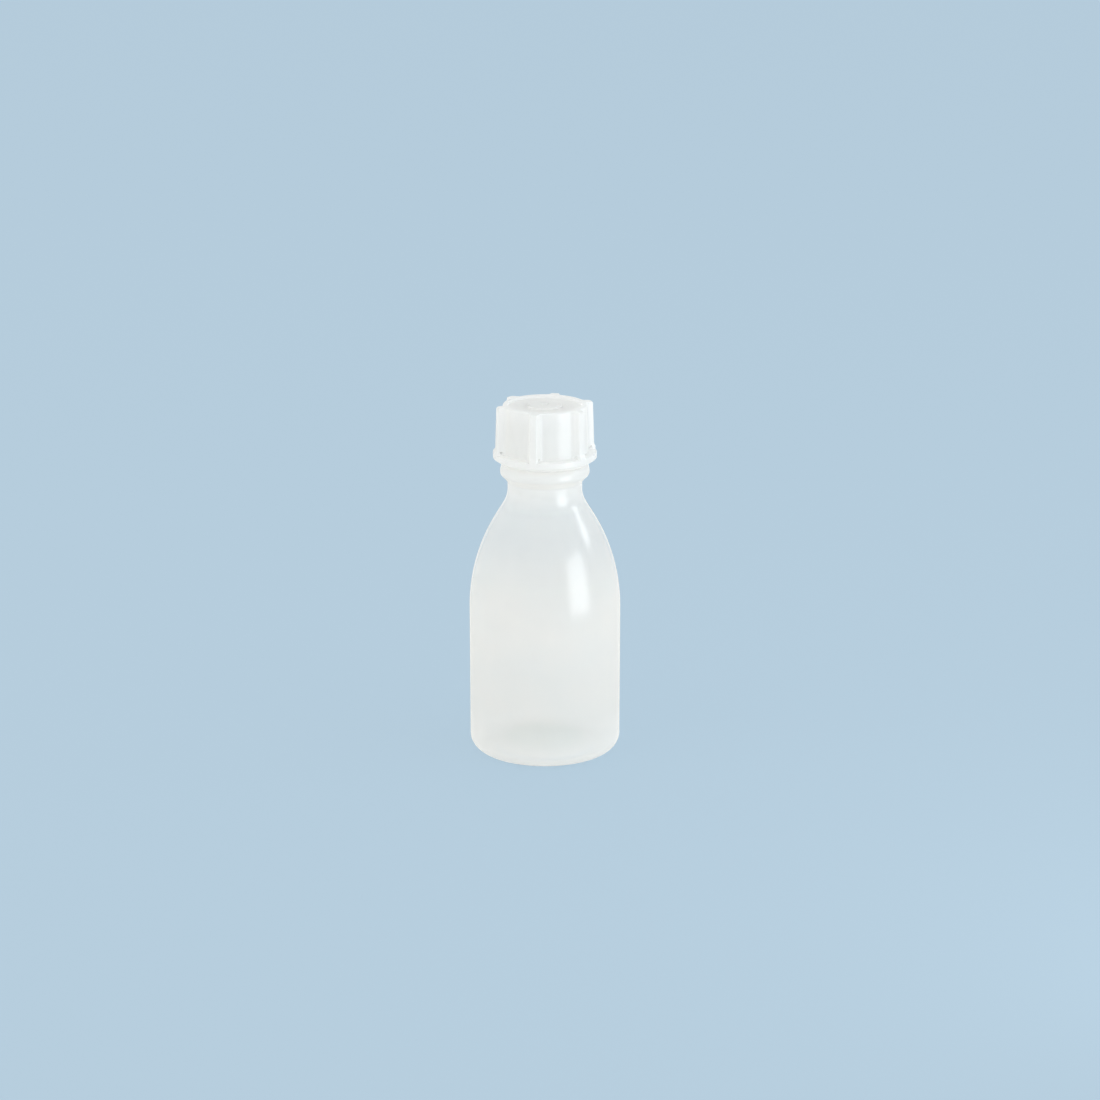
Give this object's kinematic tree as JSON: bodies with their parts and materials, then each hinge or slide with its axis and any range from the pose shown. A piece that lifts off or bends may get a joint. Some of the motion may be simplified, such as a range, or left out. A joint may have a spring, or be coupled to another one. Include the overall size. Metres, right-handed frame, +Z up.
{
  "type": "narrow-neck bottle",
  "caption": "Small round natural-polyethylene bottle with a narrow threaded neck, closed by a ribbed screw cap with a sealing insert.",
  "frame": {"origin": "centre of the standing ring, on the surface that the bottle stands on", "axes": "+Z up along the bottle's axis, which is also the thread's axis; -Y is the side the picture looks at"},
  "size_m": [0.038, 0.038, 0.0896],
  "materials": {
    "bottle_plastic": "natural unpigmented low-density polyethylene, milky and translucent, with a soft sheen",
    "cap_plastic": "natural unpigmented polyethylene, thicker and whiter than the bottle, moulded, with a soft sheen",
    "insert_plastic": "natural soft polyethylene, matt"
  },
  "bodies": {
    "bottle": {"bottle": "bottle_plastic"},
    "insert": {"sealing_insert": "insert_plastic"},
    "cap": {"screw_cap": "cap_plastic"}
  },
  "joints": [
    {"name": "cap_lift", "type": "slide", "parent": "bottle", "child": "insert", "axis": [0, 0, 1], "range_m": [0, 0.018]},
    {"name": "cap_turn", "type": "hinge", "parent": "insert", "child": "cap", "pos_m": [0, 0, 0.0751], "axis": [0, 0, 1], "range_deg": [0, 2161]}
  ],
  "couplings": [
    {"joint": "cap_turn", "follows": "cap_lift", "rad_per_m": 2094.4}
  ]
}
